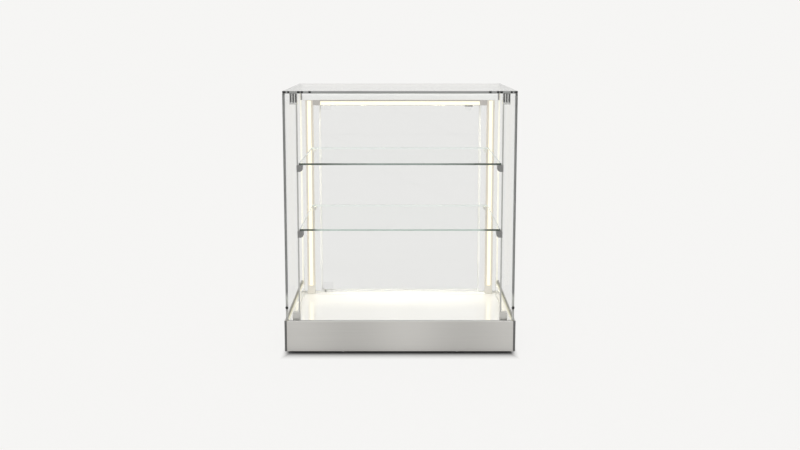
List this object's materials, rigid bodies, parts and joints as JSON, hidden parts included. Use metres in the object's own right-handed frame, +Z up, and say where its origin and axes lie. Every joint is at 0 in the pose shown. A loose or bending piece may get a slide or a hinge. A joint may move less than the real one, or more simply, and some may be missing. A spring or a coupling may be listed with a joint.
{
  "type": "illuminated display case",
  "caption": "Counter display case: clear panes on a brushed steel base, glass shelves on clips, light bars in the rear corners and under the top, and a pivoting rear door.",
  "frame": {"origin": "on the ground under the middle of the case", "axes": "+X to the right seen from the front, +Y to the rear where the door is, +Z up"},
  "size_m": [0.608, 0.508, 0.69],
  "materials": {
    "clear_acrylic": "polished clear acrylic",
    "shelf_glass": "clear float glass with green polished edges",
    "brushed_steel": "fine horizontal brushing",
    "galvanised_sheet": "plain zinc coated sheet",
    "dark_profile": "satin dark grey",
    "white_acrylic": "glossy white",
    "white_coating": "satin white powder coat",
    "mill_aluminium": "mill finish",
    "satin_aluminium": "warm satin anodised",
    "satin_steel": "satin",
    "bright_chrome": "mirror chrome",
    "opal_acrylic": "opal, lit from inside",
    "grey_plastic": "fine matt",
    "gasket_rubber": "soft grey",
    "black_rubber": "matt",
    "black_plastic": "fine matt",
    "rocker_plastic": "glossy",
    "white_nylon": "matt",
    "board_white": "solder mask",
    "chip_yellow": "phosphor",
    "screw_steel": "turned"
  },
  "bodies": {
    "case": {"top_pane": "clear_acrylic", "front_pane": "clear_acrylic", "side_pane_left": "clear_acrylic", "side_pane_right": "clear_acrylic", "rear_strip_left": "clear_acrylic", "rear_strip_right": "clear_acrylic", "fascia_front": "brushed_steel", "fascia_left": "brushed_steel", "fascia_right": "brushed_steel", "fascia_rear": "brushed_steel", "base_plate": "galvanised_sheet", "base_corner_profiles": "dark_profile", "deck_tray": "white_acrylic", "header_rail": "white_coating", "sill_rail": "white_coating", "setting_rail_left": "mill_aluminium", "setting_rail_right": "mill_aluminium", "setting_rail_front": "mill_aluminium", "deck_bearer": "mill_aluminium", "sill_blocks": "mill_aluminium", "led_channel_left": "satin_aluminium", "led_channel_right": "satin_aluminium", "led_channel_upper": "satin_aluminium", "front_post_left": "satin_steel", "front_post_right": "satin_steel", "post_feet": "satin_steel", "post_top_clamps": "bright_chrome", "led_diffuser_left": "opal_acrylic", "led_diffuser_right": "opal_acrylic", "led_diffuser_upper": "opal_acrylic", "channel_end_caps": "grey_plastic", "upper_light_end_blocks": "grey_plastic", "glazing_gaskets": "gasket_rubber", "rubber_feet": "black_rubber", "front_pane_screws": "black_plastic", "led_driver": "black_plastic", "dc_inlet": "black_plastic", "switch_housing": "black_plastic", "magnet_catch": "black_plastic", "wiring_leads": "black_plastic", "header_end_caps": "black_plastic", "pivot_bushes": "white_nylon", "led_boards": "board_white", "led_chips": "chip_yellow", "foot_screws": "screw_steel", "base_screws": "screw_steel", "switch_pin": "screw_steel", "inlet_nut": "screw_steel"},
    "door": {"rear_door": "clear_acrylic", "door_pivot_shoes": "clear_acrylic", "door_pivot_pins": "screw_steel", "door_knob": "clear_acrylic", "strike_plate": "screw_steel"},
    "rocker": {"switch_rocker": "rocker_plastic"},
    "upper_shelf": {"upper_shelf": "shelf_glass", "upper_shelf_clips": "satin_steel", "upper_clip_screws": "screw_steel"},
    "lower_shelf": {"lower_shelf": "shelf_glass", "lower_shelf_clips": "satin_steel", "lower_clip_screws": "screw_steel"}
  },
  "joints": [
    {"name": "door_swing", "type": "hinge", "parent": "case", "child": "door", "pos_m": [-0.228, 0.236, 0.06], "axis": [0, 0, 1], "range_deg": [0, 105]},
    {"name": "switch_press", "type": "hinge", "parent": "case", "child": "rocker", "pos_m": [0.07, 0.2514, 0.028], "axis": [1, 0, 0], "range_deg": [-14, 0]},
    {"name": "upper_shelf_height", "type": "slide", "parent": "case", "child": "upper_shelf", "axis": [0, 0, 1], "range_m": [-0.06, 0.1]},
    {"name": "lower_shelf_height", "type": "slide", "parent": "case", "child": "lower_shelf", "axis": [0, 0, 1], "range_m": [-0.15, 0.07]}
  ]
}
